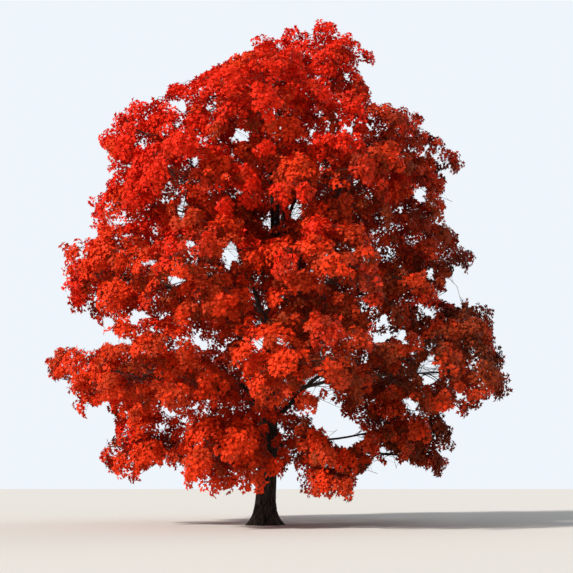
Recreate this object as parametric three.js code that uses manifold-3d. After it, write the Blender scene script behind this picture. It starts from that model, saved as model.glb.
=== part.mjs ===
// A red maple that grew in the open, in full autumn leaf: a short flared trunk, boughs that leave it
// in tiers, and the masses of leaves that the boughs carry. Millimetres, +Z up, the origin at the
// flat cut where the trunk meets the ground. +X is the right of the tree and -Y its front.
import * as THREE from "three";
import { mergeVertices } from "three/addons/utils/BufferGeometryUtils.js";
import Module from "manifold-3d";

const wasm = await Module();
wasm.setup();

const METRE = 1000;
const DEGREE = Math.PI / 180;
const UP = new THREE.Vector3(0, 0, 1);
// Clear space between two limbs that meet
const JOINT_GAP = 0.3;

// The trunk forks at this height, and leans a little to the right on its way there
const TRUNK = {
  height: 8.6 * METRE,
  lean: 0.42 * METRE,
  sway: 0.07 * METRE,
  sides: 22,
  rings: 8,
  // Powers by which the rings crowd towards the flare, and the lean sets in above it
  ringCrowding: 1.9,
  leanCrowding: 1.4,
};
// Height up the trunk and its radius there, without the roots
const TRUNK_TAPER = [
  [0, 0.46],
  [0.35, 0.4],
  [0.8, 0.352],
  [1.4, 0.335],
  [3.2, 0.312],
  [5.0, 0.262],
  [7.0, 0.2],
  [8.6, 0.155],
].map(([height, radius]) => [height * METRE, radius * METRE]);
// The roots swell out of the foot as ribs and fade away upwards
const ROOTS = {
  count: 7,
  reach: 0.36 * METRE,
  fade: 0.26 * METRE,
  halfWidth: 15 * DEGREE,
  // How far the ribs stray from an even spacing and size, as shares of it
  unevenness: 0.25,
  seed: 11,
};

// The boughs thicken with the leaves that they carry
const BOUGH = {
  sides: 6,
  rings: 4,
  tipRadius: 0.055 * METRE,
  radiusPerLength: 0.019,
  leastRootRadius: 0.085 * METRE,
  // How straight a bough leaves the trunk and arrives at its tip, as shares of its length
  leaving: 0.36,
  arriving: 0.34,
  // How far up or down the trunk a bough strays from its tier's height
  strays: 0.3 * METRE,
};

// The tiers of the crown, from the lowest up. masses has a row for each mass of leaves: the
// direction in which it stands, in degrees from the right by the back, how far its tip reaches, and
// the height of its middle, in metres. half is half the size of a mass outwards, across and up, and
// tilt how far its outer face is tilted up. Two masses share a bough, which leaves the trunk at
// trunkAt, at rise degrees, and ends tipShare of the way to them, tipLift above their middle.
const TIERS = [
  {
    name: "skirt",
    half: [2.1, 2.0, 1.35],
    tilt: 0,
    masses: [
      [180, 5.8, 2.7],
      [250, 5.1, 2.35],
      [318, 5.2, 2.0],
      [352, 6.4, 3.45],
      [24, 7.0, 2.4],
      [100, 6.2, 3.0],
    ],
    bough: { trunkAt: 2.45, rise: 18, tipShare: 0.54, tipLift: 0.2 },
  },
  {
    name: "low",
    half: [2.65, 2.5, 1.65],
    tilt: 0,
    masses: [
      [182, 7.65, 5.05],
      [228, 7.3, 4.85],
      [285, 7.9, 5.0],
      [331, 8.8, 5.0],
      [9, 8.7, 6.3],
      [53, 8.5, 5.5],
      [96, 8.2, 5.4],
      [138, 7.9, 5.5],
    ],
    bough: { trunkAt: 3.75, rise: 34, tipShare: 0.58, tipLift: -0.25 },
  },
  {
    name: "middle",
    half: [2.7, 2.5, 1.95],
    tilt: 5,
    masses: [
      [163, 7.6, 9.2],
      [202, 7.1, 8.3],
      [248, 7.5, 7.9],
      [292, 7.6, 7.5],
      [337, 7.2, 7.6],
      [17, 8.1, 9.75],
      [67, 7.7, 8.3],
      [112, 7.6, 8.5],
    ],
    bough: { trunkAt: 5.1, rise: 48, tipShare: 0.56, tipLift: -0.7 },
  },
  {
    name: "shoulder",
    half: [2.7, 2.6, 1.9],
    tilt: 12,
    masses: [
      [180, 6.3, 11.4],
      [240, 6.6, 10.9],
      [300, 6.7, 10.9],
      [0, 7.1, 10.8],
      [60, 6.9, 11.6],
      [120, 6.7, 11.4],
    ],
    bough: { trunkAt: 6.5, rise: 58, tipShare: 0.54, tipLift: -0.9 },
  },
  {
    name: "high",
    half: [2.6, 2.6, 1.8],
    tilt: 14,
    masses: [
      [164, 6.6, 13.1],
      [213, 5.8, 12.9],
      [270, 6.2, 13.3],
      [327, 6.3, 12.7],
      [20, 7.6, 13.3],
      [90, 6.4, 13.7],
    ],
    bough: { trunkAt: 7.6, rise: 68, tipShare: 0.54, tipLift: -1.1 },
  },
  {
    name: "top",
    half: [2.2, 2.2, 1.85],
    tilt: 50,
    masses: [
      [275, 3.6, 14.6],
      [5, 4.1, 16.0],
      [85, 3.9, 16.2],
      [185, 3.6, 14.5],
    ],
    bough: { trunkAt: 8.35, rise: 80, tipShare: 0.52, tipLift: -1.3 },
  },
];
const PLAN_SEED = 5;

// Inside a mass: one stem, the branches that leave it for the mass's outer face, and a spray at
// the end of each
const MASS = {
  stemRadius: 0.026 * METRE,
  stemTipRadius: 0.018 * METRE,
  // The two stems on a bough stand this many radii to either side of its middle
  stemsApart: 1.12,
  stemSides: 4,
  stemRings: 3,
  // How straight a stem leaves its bough, as a share of the way to the middle of its mass
  stemLeaving: 0.4,
  branches: 6,
  branchRadius: 0.013 * METRE,
  branchTipRadius: 0.01 * METRE,
  branchSides: 3,
  // Angle of the branches away from the way out, and how far each strays
  spread: 62 * DEGREE,
  jitter: 9 * DEGREE,
  // The branches leave the stem between these shares of its length
  branchesLeave: [0.45, 0.8],
  // The ends of the branches, as shares of the way from the middle to the rim of the space, are
  // tried in turn from the first to the last
  branchEnds: [0.98, 0.5],
  branchStep: 0.06,
  // A space ends this far short of the middle between two masses
  clearance: 0.04 * METRE,
  limbClearance: 0.1 * METRE,
  // Places along a bough that growth keeps clear of
  limbTests: 24,
  // 2 makes a space an ellipsoid, and more fills out its corners
  fullness: 2.6,
  // Masses are broader than they are tall, so heights count for more between two of them
  flatten: 1.25,
};
// A spray is drawn as a star of three great leaves, each a kite with a lobe on either side
const SPRAY = {
  leafLength: 1.5 * METRE,
  thickness: 0.055 * METRE,
  leaves: 3,
  // How far a leaf reaches to each side, half way along it, as a share of its length
  lobe: 0.48,
  // The rim runs in between two leaves to this distance from the middle
  notch: 0.2 * METRE,
  // Shares of the length that a leaf may have, tried in turn until it fits its space
  sizes: [1, 0.85, 0.7, 0.55],
  // Ways to turn a spray about its middle, tried for the one that lets it spread furthest
  rolls: [0, 40 * DEGREE, 80 * DEGREE],
  // How far a spray turns up to the light, and its leaves fall away from its middle
  upturn: 0.35,
  fall: 26 * DEGREE,
  // Where a branch ends inside the first leaf: across, along and above its lower face
  seat: [0.09 * METRE, 0.27 * METRE, 0.02 * METRE],
  // Clear space round a leaf, as a share of its length
  margin: 0.04,
};

// Bark and leaf colours. The crown is scarlet, but crimson to the right of crimsonBeyond, and orange
// on the low boughs below orangeBelow that stand left of orangeUpTo.
const COLOUR_BOUNDS = {
  crimsonBeyond: 2.2 * METRE,
  orangeBelow: 4.2 * METRE,
  orangeUpTo: 1.5 * METRE,
};
const BARK = new THREE.MeshStandardMaterial({ color: 0x3a2f29, roughness: 0.95, metalness: 0 });
const LEAF_COLOURS = {
  scarlet: new THREE.MeshStandardMaterial({ color: 0xe0260e, roughness: 0.6, metalness: 0 }),
  crimson: new THREE.MeshStandardMaterial({ color: 0x9c1410, roughness: 0.6, metalness: 0 }),
  orange: new THREE.MeshStandardMaterial({ color: 0xe8481a, roughness: 0.6, metalness: 0 }),
};

// A seeded source of numbers from -1 to 1, the same on every run
function seeded(seed) {
  let state = Math.imul(seed, 2654435761) >>> 0;
  return () => {
    state = (Math.imul(state, 1664525) + 1013904223) >>> 0;
    return state / 2147483648 - 1;
  };
}

// A value read off a list of [place, value] pairs by straight lines between them
function between(pairs, place) {
  const last = pairs.length - 1;
  if (place >= pairs[last][0]) return pairs[last][1];
  const next = Math.max(1, pairs.findIndex(([at]) => at > place));
  const [a, valueA] = pairs[next - 1];
  const [b, valueB] = pairs[next];
  return valueA + ((valueB - valueA) * (place - a)) / (b - a);
}

// The manifold solid of a closed three.js geometry
function solidOf(geometry) {
  geometry.deleteAttribute("normal");
  geometry.deleteAttribute("uv");
  const merged = mergeVertices(geometry, 1e-3);
  return new wasm.Manifold(
    new wasm.Mesh({
      numProp: 3,
      vertProperties: merged.attributes.position.array,
      triVerts: new Uint32Array(merged.index.array),
    }),
  );
}

// A named mesh of a solid, in the tree's own frame
function meshOf(name, solid, material) {
  const { numProp, numVert, vertProperties, triVerts } = solid.getMesh();
  const places = new Float32Array(numVert * 3);
  for (let i = 0; i < numVert; i++) {
    places.set(vertProperties.subarray(i * numProp, i * numProp + 3), i * 3);
  }
  const geometry = new THREE.BufferGeometry();
  geometry.setAttribute("position", new THREE.BufferAttribute(places, 3));
  geometry.setIndex(new THREE.BufferAttribute(triVerts, 1));
  geometry.computeVertexNormals();
  const mesh = new THREE.Mesh(geometry, material);
  mesh.name = name;
  return mesh;
}

// The largest of the bodies that a cut leaves
function largest(solid) {
  return solid.decompose().reduce((a, b) => (b.volume() > a.volume() ? b : a));
}

// A tapering tube along a curve: a closed cylinder whose rings are carried onto the curve
function limbSolid(curve, rootRadius, tipRadius, sides, rings, grow = 0) {
  const geometry = new THREE.CylinderGeometry(1, 1, 1, sides, rings);
  const frames = curve.computeFrenetFrames(rings);
  const place = geometry.attributes.position;
  for (let i = 0; i < place.count; i++) {
    const ring = Math.round((place.getY(i) + 0.5) * rings);
    const share = ring / rings;
    const radius = rootRadius + (tipRadius - rootRadius) * share + grow;
    const side = frames.normals[ring];
    const across = side.clone().cross(frames.tangents[ring]);
    const at = curve
      .getPointAt(share)
      .addScaledVector(side, place.getX(i) * radius)
      .addScaledVector(across, place.getZ(i) * radius);
    place.setXYZ(i, at.x, at.y, at.z);
  }
  return solidOf(geometry);
}

// The middle of the trunk at a height
function trunkAxis(height) {
  const share = height / TRUNK.height;
  const sway = Math.sin(share * 2 * Math.PI) * TRUNK.sway;
  return new THREE.Vector3(TRUNK.lean * share ** TRUNK.leanCrowding + sway, -sway * share, height);
}

// The directions and sizes of the roots, uneven as they grow
function rootRibs() {
  const chance = seeded(ROOTS.seed);
  return Array.from({ length: ROOTS.count }, (_, i) => ({
    angle: ((i + ROOTS.unevenness * chance()) / ROOTS.count) * 2 * Math.PI,
    size: 1 + ROOTS.unevenness * chance(),
  }));
}

function trunkSolid(grow = 0) {
  const { height, sides, rings, ringCrowding } = TRUNK;
  const ribs = rootRibs();
  const geometry = new THREE.CylinderGeometry(1, 1, 1, sides, rings);
  const place = geometry.attributes.position;
  for (let i = 0; i < place.count; i++) {
    const z = height * (place.getY(i) + 0.5) ** ringCrowding;
    const angle = Math.atan2(-place.getZ(i), place.getX(i));
    let swell = 0;
    for (const rib of ribs) {
      const off = Math.atan2(Math.sin(angle - rib.angle), Math.cos(angle - rib.angle));
      swell += rib.size * Math.exp(-((off / ROOTS.halfWidth) ** 2) / 2);
    }
    const root = ROOTS.reach * swell * Math.exp(-z / ROOTS.fade);
    const fromAxis = Math.hypot(place.getX(i), place.getZ(i));
    const radius = fromAxis * (between(TRUNK_TAPER, z) + root + grow);
    const axis = trunkAxis(z);
    place.setXYZ(i, axis.x + Math.cos(angle) * radius, axis.y + Math.sin(angle) * radius, z);
  }
  return solidOf(geometry);
}

function outwards(direction) {
  return new THREE.Vector3(Math.cos(direction), Math.sin(direction), 0);
}

// The masses of one tier: where each one's middle is and its half sizes along its own three axes
function planMasses(tier) {
  const half = tier.half.map((size) => size * METRE);
  return tier.masses.map(([degrees, reach, height], i) => {
    const out = outwards(degrees * DEGREE);
    const across = UP.clone().cross(out);
    const tilt = -tier.tilt * DEGREE;
    const axes = [out, across, UP].map((axis) => axis.clone().applyAxisAngle(across, tilt));
    const middle = out.clone().multiplyScalar(reach * METRE - half[0]).setZ(height * METRE);
    return { name: `leaves_${tier.name}_${i + 1}`, middle, axes, half };
  });
}

// The bough of two masses: a curve from the middle of the trunk to where it enters them
function planBough(tier, number, pair, chance) {
  const { trunkAt, rise, tipShare, tipLift } = tier.bough;
  const middle = pair[0].middle.clone().lerp(pair[1].middle, 0.5);
  const root = trunkAxis(trunkAt * METRE + BOUGH.strays * chance());
  const tip = root.clone().lerp(middle, tipShare);
  tip.z = middle.z + tipLift * METRE;
  const flat = middle.clone().sub(root).setZ(0).normalize();
  const length = root.distanceTo(tip);
  const leaving = flat
    .clone()
    .multiplyScalar(Math.cos(rise * DEGREE))
    .addScaledVector(UP, Math.sin(rise * DEGREE));
  const arriving = middle.clone().sub(tip).normalize();
  const curve = new THREE.CubicBezierCurve3(
    root,
    root.clone().addScaledVector(leaving, length * BOUGH.leaving),
    tip.clone().addScaledVector(arriving, -length * BOUGH.arriving),
    tip,
  );
  return {
    name: `bough_${tier.name}_${number}`,
    curve,
    pair,
    arriving: curve.getTangentAt(1),
    rootRadius: Math.max(BOUGH.leastRootRadius, length * BOUGH.radiusPerLength),
  };
}

function planTree() {
  const chance = seeded(PLAN_SEED);
  const masses = [];
  const boughs = [];
  for (const tier of TIERS) {
    const here = planMasses(tier);
    for (let i = 0; i < here.length; i += 2) {
      boughs.push(planBough(tier, i / 2 + 1, here.slice(i, i + 2), chance));
    }
    masses.push(...here);
  }
  return { masses, boughs };
}

// The planes half way to every other mass, which close a mass's own space
function spaceOf(mass, masses) {
  const squeeze = ({ x, y, z }) => new THREE.Vector3(x, y, z * MASS.flatten);
  const own = squeeze(mass.middle);
  const planes = masses
    .filter((other) => other !== mass)
    .map((other) => {
      const normal = squeeze(other.middle).sub(own);
      const offset = normal.length() / 2 - MASS.clearance;
      return { normal: normal.normalize(), offset };
    });
  return (point) => {
    const from = point.clone().sub(mass.middle);
    const inside = mass.axes.reduce(
      (sum, axis, i) => sum + Math.abs(from.dot(axis) / mass.half[i]) ** MASS.fullness,
      0,
    );
    const squeezed = squeeze(from);
    return inside <= 1 && planes.every(({ normal, offset }) => squeezed.dot(normal) <= offset);
  };
}

// True where a point is clear of the trunk and of every bough
function limbTest(boughs) {
  const balls = boughs.flatMap(({ curve, rootRadius }) =>
    curve.getSpacedPoints(MASS.limbTests).map((point, i) => {
      const radius = rootRadius + ((BOUGH.tipRadius - rootRadius) * i) / MASS.limbTests;
      return [point, radius + MASS.limbClearance];
    }),
  );
  return (point) => {
    const fromTrunk = trunkAxis(Math.min(point.z, TRUNK.height)).distanceTo(point);
    const trunk = between(TRUNK_TAPER, point.z) + MASS.limbClearance;
    return fromTrunk > trunk && balls.every(([middle, radius]) => middle.distanceTo(point) > radius);
  };
}

// The side of a mass that faces out and up to the light at a point
function facingAt(point, mass) {
  const from = point.clone().sub(mass.middle);
  const facing = new THREE.Vector3();
  mass.axes.forEach((axis, i) => facing.addScaledVector(axis, from.dot(axis) / mass.half[i] ** 2));
  facing.normalize();
  facing.z = Math.max(facing.z, 0) + SPRAY.upturn;
  return facing.normalize();
}

// A leaf of a spray: its root, the direction of its length, which falls away from the side that
// the spray faces, the direction across it and its own upper side. turn is its place in the spray.
function layLeaf(root, facing, start, turn) {
  const length = start.clone().applyAxisAngle(facing, turn);
  const across = facing.clone().cross(length);
  length.applyAxisAngle(across, SPRAY.fall);
  return { root, turn, length, across, upper: length.clone().cross(across), size: 0 };
}

// A point of a leaf, across and along as shares of its size
function leafPoint({ root, length, across, size }, x, y) {
  return root.clone().addScaledVector(across, x * size).addScaledVector(length, y * size);
}

// The corners of a leaf after its root, in the order of their turn: a lobe, the tip and a lobe
function leafCorners(leaf) {
  return [leafPoint(leaf, -SPRAY.lobe, 0.5), leafPoint(leaf, 0, 1), leafPoint(leaf, SPRAY.lobe, 0.5)];
}

// True where a straight line passes through a leaf
function meetsLeaf(from, to, leaf) {
  const start = from.clone().sub(leaf.root);
  const end = to.clone().sub(leaf.root);
  const above = start.dot(leaf.upper);
  const below = end.dot(leaf.upper);
  if (above * below > 0) return false;
  const crossing = start.lerp(end, above / (above - below));
  const along = crossing.dot(leaf.length) / leaf.size;
  const halfWidth = SPRAY.lobe * (1 - Math.abs(2 * along - 1)) + SPRAY.margin;
  return Math.abs(crossing.dot(leaf.across)) / leaf.size < halfWidth;
}

function rimMeetsLeaf(leaf, other) {
  const corners = [leaf.root, ...leafCorners(leaf)];
  return corners.some((corner, i) => meetsLeaf(corner, corners[(i + 1) % corners.length], other));
}

// True where a straight line is clear of the limbs
function clearLine(from, to, tests) {
  const shares = [0.25, 0.5, 0.75, 1];
  return shares.every((share) => tests.clearOfLimbs(from.clone().lerp(to, share)));
}

// True where a leaf keeps to its space, clear of the limbs, the branches and the other sprays
function leafFits(leaf, tests) {
  const corners = leafCorners(leaf);
  return (
    tests.inSpace(leaf.root) &&
    corners.every(tests.inSpace) &&
    !tests.branches.some(({ root, tip }) => meetsLeaf(root, tip, leaf)) &&
    !tests.leaves.some((other) => rimMeetsLeaf(leaf, other) || rimMeetsLeaf(other, leaf)) &&
    corners.every((corner) => clearLine(leaf.root, corner, tests))
  );
}

// A spray whose first leaf takes in the end of a branch, with the leaves that fit
function growSpray(tip, mass, roll, tests) {
  const facing = facingAt(tip, mass);
  const start = mass.axes[1].clone();
  start.addScaledVector(facing, -start.dot(facing)).normalize();
  const [across, along, deep] = SPRAY.seat;
  const first = layLeaf(tip, facing, start, roll);
  const middle = tip
    .clone()
    .addScaledVector(first.across, -across)
    .addScaledVector(first.length, -along)
    .addScaledVector(first.upper, -deep);
  const leaves = [];
  for (let i = 0; i < SPRAY.leaves; i++) {
    const leaf = layLeaf(middle, facing, start, roll + (i / SPRAY.leaves) * 2 * Math.PI);
    const fits = SPRAY.sizes.some((share) => {
      leaf.size = SPRAY.leafLength * share;
      return leafFits(leaf, tests);
    });
    if (fits) leaves.push(leaf);
    else if (i === 0) break;
  }
  return { middle, facing, start, leaves };
}

// A spray as a flat cone whose corners are carried to the rims of its leaves
function spraySolid({ middle, facing, start, leaves }) {
  const rim = leaves.flatMap((leaf, i) => {
    const next = leaves[i + 1] ?? { turn: leaves[0].turn + 2 * Math.PI };
    const inward = start.clone().applyAxisAngle(facing, (leaf.turn + next.turn) / 2);
    return [...leafCorners(leaf), middle.clone().addScaledVector(inward, SPRAY.notch)];
  });
  const geometry = new THREE.ConeGeometry(1, 1, rim.length, 1);
  const apex = middle.clone().addScaledVector(facing, SPRAY.thickness);
  const place = geometry.attributes.position;
  for (let i = 0; i < place.count; i++) {
    const turn = Math.atan2(place.getX(i), place.getZ(i)) / (2 * Math.PI);
    const corner = (Math.round(turn * rim.length) + rim.length) % rim.length;
    const onRim = Math.hypot(place.getX(i), place.getZ(i)) > 0.5;
    const inside = place.getY(i) > 0 ? apex : middle;
    const at = onRim ? rim[corner] : inside;
    place.setXYZ(i, at.x, at.y, at.z);
  }
  return solidOf(geometry);
}

// A branch towards a point on the rim of its mass, which ends where its spray spreads furthest
function growBranch(root, rim, mass, roll, tests) {
  const [furthest, nearest] = MASS.branchEnds;
  let best = null;
  let most = 0;
  for (let share = furthest; share > nearest; share -= MASS.branchStep) {
    const tip = mass.middle.clone().lerp(rim, share);
    for (const turn of SPRAY.rolls) {
      const spray = growSpray(tip, mass, roll + turn, tests);
      const spread = share * spray.leaves.reduce((sum, leaf) => sum + leaf.size, 0);
      if (spread <= most || tests.leaves.some((leaf) => meetsLeaf(root, tip, leaf))) continue;
      if (!clearLine(root, tip, tests)) continue;
      best = { root, tip, spray };
      most = spread;
    }
  }
  if (!best) return null;
  tests.leaves.push(...best.spray.leaves);
  tests.branches.push(best);
  return best;
}

// A point on the rim of a mass: out along its own axis, turned by spread towards a bearing that
// runs round that axis from the left by the top to the right
function rimPoint(mass, spread, bearing) {
  const shares = [
    Math.cos(spread),
    Math.sin(spread) * Math.cos(bearing),
    Math.sin(spread) * Math.sin(bearing),
  ];
  const rim = mass.middle.clone();
  shares.forEach((share, i) => rim.addScaledVector(mass.axes[i], share * mass.half[i]));
  return rim;
}

// The middle of a limb at a share of its length, on the straight pieces that its rings leave of
// its curve
function limbAxis(curve, rings, share) {
  const ring = Math.min(rings - 1, Math.floor(share * rings));
  const from = curve.getPointAt(ring / rings);
  return from.lerp(curve.getPointAt((ring + 1) / rings), share * rings - ring);
}

// Everything that grows in one mass, from the place where its stem meets the bough. The first
// branch carries the stem on to the outermost point.
function growMass(mass, seed, foot, heading, tests) {
  const chance = seeded(seed);
  const whole = 2 * Math.PI;
  const leader = growBranch(mass.middle, rimPoint(mass, 0, 0), mass, whole * chance(), tests);
  const straight = MASS.stemLeaving * foot.distanceTo(mass.middle);
  const control = foot.clone().addScaledVector(heading, straight);
  const stemTip = leader ? leader.tip : mass.middle;
  const stem = new THREE.CubicBezierCurve3(foot, control, mass.middle.clone(), stemTip);
  const [first, last] = MASS.branchesLeave;
  for (let i = 0; i < MASS.branches; i++) {
    const bearing = 90 * DEGREE + (i / MASS.branches) * whole + MASS.jitter * chance();
    const spread = MASS.spread + MASS.jitter * chance();
    const root = limbAxis(stem, MASS.stemRings, first + (last - first) * (i / MASS.branches));
    growBranch(root, rimPoint(mass, spread, bearing), mass, whole * chance(), tests);
  }
  const sprays = tests.branches.map((branch) => branch.spray);
  return { stem, branches: tests.branches.filter((branch) => branch !== leader), sprays };
}

// The foot of a mass's stem on the tip of its bough, where two stems stand side by side
function stemFoot(bough, mass) {
  const end = bough.curve.getPointAt(1);
  const side = UP.clone().cross(bough.arriving).normalize();
  const toSide = Math.sign(mass.middle.clone().sub(end).dot(side));
  return end
    .addScaledVector(bough.arriving, JOINT_GAP)
    .addScaledVector(side, toSide * MASS.stemRadius * MASS.stemsApart);
}

function massSolid(grown) {
  const { stemRadius, stemTipRadius, stemSides, stemRings } = MASS;
  const pieces = [limbSolid(grown.stem, stemRadius, stemTipRadius, stemSides, stemRings)];
  for (const { root, tip } of grown.branches) {
    const line = new THREE.LineCurve3(root, tip);
    pieces.push(limbSolid(line, MASS.branchRadius, MASS.branchTipRadius, MASS.branchSides, 1));
  }
  for (const spray of grown.sprays) pieces.push(spraySolid(spray));
  return largest(wasm.Manifold.union(pieces));
}

// The colour of a mass from where it stands in the crown
function leafColour({ middle }) {
  const { crimsonBeyond, orangeBelow, orangeUpTo } = COLOUR_BOUNDS;
  if (middle.z < orangeBelow && middle.x < orangeUpTo) return LEAF_COLOURS.orange;
  return middle.x > crimsonBeyond ? LEAF_COLOURS.crimson : LEAF_COLOURS.scarlet;
}

function makeBoughs(boughs) {
  const grownTrunk = trunkSolid(JOINT_GAP);
  const made = [];
  for (const { name, curve, rootRadius } of [...boughs].reverse()) {
    const tube = (grow) =>
      limbSolid(curve, rootRadius, BOUGH.tipRadius, BOUGH.sides, BOUGH.rings, grow);
    let solid = tube(0).subtract(grownTrunk);
    for (const earlier of made) solid = solid.subtract(earlier.grown);
    made.push({ name, solid: largest(solid), grown: tube(JOINT_GAP) });
  }
  return made;
}

function makeTree() {
  const tree = new THREE.Group();
  const { masses, boughs } = planTree();
  tree.add(meshOf("trunk", trunkSolid(), BARK));
  for (const { name, solid } of makeBoughs(boughs)) tree.add(meshOf(name, solid, BARK));
  const clearOfLimbs = limbTest(boughs);
  for (const bough of boughs) {
    for (const mass of bough.pair) {
      const tests = { inSpace: spaceOf(mass, masses), clearOfLimbs, leaves: [], branches: [] };
      const seed = masses.indexOf(mass) + 1;
      const grown = growMass(mass, seed, stemFoot(bough, mass), bough.arriving, tests);
      tree.add(meshOf(mass.name, massSolid(grown), leafColour(mass)));
    }
  }
  return tree;
}

export default makeTree();
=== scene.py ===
"""A red maple in full autumn leaf, grown in the open: trunk, boughs, branches, twigs and leaves.

Metres, +Z up, the origin at the flat cut where the trunk meets the ground. +X is the right of the
tree and -Y its front. Every part is grown by one seeded rule, from the trunk outwards.
"""

import math
from types import SimpleNamespace

import bmesh
import bpy
import numpy as np
from mathutils import Matrix, Vector, noise
from mathutils.kdtree import KDTree


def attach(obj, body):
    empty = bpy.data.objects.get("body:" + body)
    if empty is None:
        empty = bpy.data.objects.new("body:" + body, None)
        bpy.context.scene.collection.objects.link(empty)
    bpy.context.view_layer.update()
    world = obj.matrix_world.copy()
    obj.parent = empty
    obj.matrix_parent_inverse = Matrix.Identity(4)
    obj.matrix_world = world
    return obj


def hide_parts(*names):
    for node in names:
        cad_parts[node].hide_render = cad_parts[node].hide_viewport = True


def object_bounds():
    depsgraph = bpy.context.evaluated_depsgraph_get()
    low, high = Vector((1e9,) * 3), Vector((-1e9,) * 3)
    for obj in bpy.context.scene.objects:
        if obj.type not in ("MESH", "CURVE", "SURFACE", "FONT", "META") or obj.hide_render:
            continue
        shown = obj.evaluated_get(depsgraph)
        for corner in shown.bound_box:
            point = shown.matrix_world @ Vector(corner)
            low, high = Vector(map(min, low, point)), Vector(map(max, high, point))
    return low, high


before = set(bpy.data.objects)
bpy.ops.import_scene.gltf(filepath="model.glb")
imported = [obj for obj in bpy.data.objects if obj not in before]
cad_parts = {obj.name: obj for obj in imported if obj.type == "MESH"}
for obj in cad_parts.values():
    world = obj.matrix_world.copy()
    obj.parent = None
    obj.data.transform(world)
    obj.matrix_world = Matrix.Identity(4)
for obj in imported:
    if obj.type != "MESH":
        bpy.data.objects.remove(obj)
cad_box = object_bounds()

# The camera stands at eye height on level grass, a little right of the trunk, and looks up at the
# middle of the crown.
EYE = (0.79, -39.0, 1.54)
LOOKS_UP = math.radians(10.0)
LENS_MM = 68.9

camera_data = bpy.data.cameras.new("camera")
camera_data.lens = LENS_MM
camera_data.clip_end = 1000.0
camera = bpy.data.objects.new("camera", camera_data)
camera.location = EYE
camera.rotation_euler = (math.pi / 2 + LOOKS_UP, 0.0, 0.0)
bpy.context.scene.collection.objects.link(camera)
bpy.context.scene.camera = camera


# The trunk: one short stem that leans a little to the right on its way to the fork, and swells at
# the foot into seven uneven roots. The bark is split into long grey-brown plates, with dark
# furrows between them, and is one closed skin that is flat where it meets the ground. The plates
# and their weathering are coloured darker all over, as painted shade.
UP = Vector((0.0, 0.0, 1.0))
TRUNK_HEIGHT = 8.6
TRUNK_LEAN = 0.42
TRUNK_SWAY = 0.07
LEAN_CROWDING = 1.4
TRUNK_TAPER = [
    (0.0, 0.46), (0.35, 0.4), (0.8, 0.352), (1.4, 0.335),
    (3.2, 0.312), (5.0, 0.262), (7.0, 0.2), (8.6, 0.155),
]
ROOT_COUNT = 7
ROOT_REACH = 0.36
ROOT_FADE = 0.26
ROOT_HALF_WIDTH = math.radians(15.0)
ROOT_UNEVENNESS = 0.25
ROOT_SEED = 11
TRUNK_SIDES = 200
TRUNK_RINGS = 300
# The rings of the mesh crowd towards the foot, which shows most
TRUNK_CROWDING = 1.5
# The plates of bark: how wide one is, how many times longer, how deep the furrows are cut, and how
# wide they are as a share of a plate
PLATE_WIDTH = 0.062
PLATE_STRETCH = 6.5
FURROW_DEPTH = 0.017
FURROW_WIDTH = 0.3
# Two waves that bend the rows of plates: how fine each is, and how far it bends them, in plates
PLATE_BENDS = ((0.6, 0.8), (2.3, 0.3))
# How high on a plate the trunk's own surface lies
BARK_LEVEL = 0.7
# The pattern is laid out on a cylinder as thick as the trunk at breast height
BARK_RADIUS = TRUNK_TAPER[3][1]
PLATE_ROUGHNESS = 0.004
ROUGHNESS_SCALE = 9.0
# Noise in three sizes
THREE_SIZES = (1.0, 2.0, 3)
# The trunk's top closes in a dome, down to the root of this share of its radius
DOME_CLOSES = 0.004
MERGED = 1e-4
BARK_SEED = 7
noise.seed_set(BARK_SEED)
# The source of numbers: how it spreads the seeds, its factor, its step and its size
SPREADER, FACTOR, STEP, SIZE = 2654435761, 1664525, 1013904223, 2**32


def seeded(seed):
    """A source of numbers from -1 to 1, the same on every run."""
    state = seed * SPREADER % SIZE

    def chance():
        nonlocal state
        state = (state * FACTOR + STEP) % SIZE
        return 2 * state / SIZE - 1

    return chance


def between(pairs, place):
    """A value read off a list of (place, value) pairs by straight lines between them."""
    places, values = zip(*pairs)
    return float(np.interp(place, places, values))


def trunk_axis(height):
    """The middle of the trunk at a height."""
    share = height / TRUNK_HEIGHT
    sway = math.sin(share * math.tau) * TRUNK_SWAY
    return Vector((TRUNK_LEAN * share**LEAN_CROWDING + sway, -sway * share, height))


def root_ribs():
    """The direction and the size of each root."""
    chance = seeded(ROOT_SEED)
    ribs = []
    for i in range(ROOT_COUNT):
        angle = (i + ROOT_UNEVENNESS * chance()) / ROOT_COUNT * math.tau
        ribs.append((angle, 1 + ROOT_UNEVENNESS * chance()))
    return ribs


def bark_plates(at):
    """How high the bark stands at a place, from 0 in a furrow to 1 on a plate."""
    at = Vector((at.x, at.y, at.z / PLATE_STRETCH)) / PLATE_WIDTH
    (slow, far), (quick, near) = PLATE_BENDS
    at += noise.noise_vector(at * slow) * far + noise.noise_vector(at * quick) * near
    distances, _ = noise.voronoi(at)
    share = min(1.0, (distances[1] - distances[0]) / FURROW_WIDTH)
    return share * share * (3 - 2 * share)


def wrapped_bark(around, along, place):
    """A closed skin of bark round a limb. place gives a point, and how high the bark stands there,
    from an angle round the limb and a share of its length."""
    skin = bmesh.new()
    plates = skin.verts.layers.float.new("plates")
    bmesh.ops.create_grid(skin, x_segments=around, y_segments=along, size=0.5)
    for vert in skin.verts:
        vert.co, vert[plates] = place((vert.co.x + 0.5) * math.tau, vert.co.y + 0.5)
    bmesh.ops.remove_doubles(skin, verts=skin.verts, dist=MERGED)
    bmesh.ops.holes_fill(skin, edges=skin.edges, sides=0)
    bmesh.ops.recalc_face_normals(skin, faces=skin.faces)
    return skin


def mesh_of(name, skin):
    """A mesh made from an edited one, which is freed."""
    mesh = bpy.data.meshes.new(name)
    skin.to_mesh(mesh)
    skin.free()
    return mesh


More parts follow.
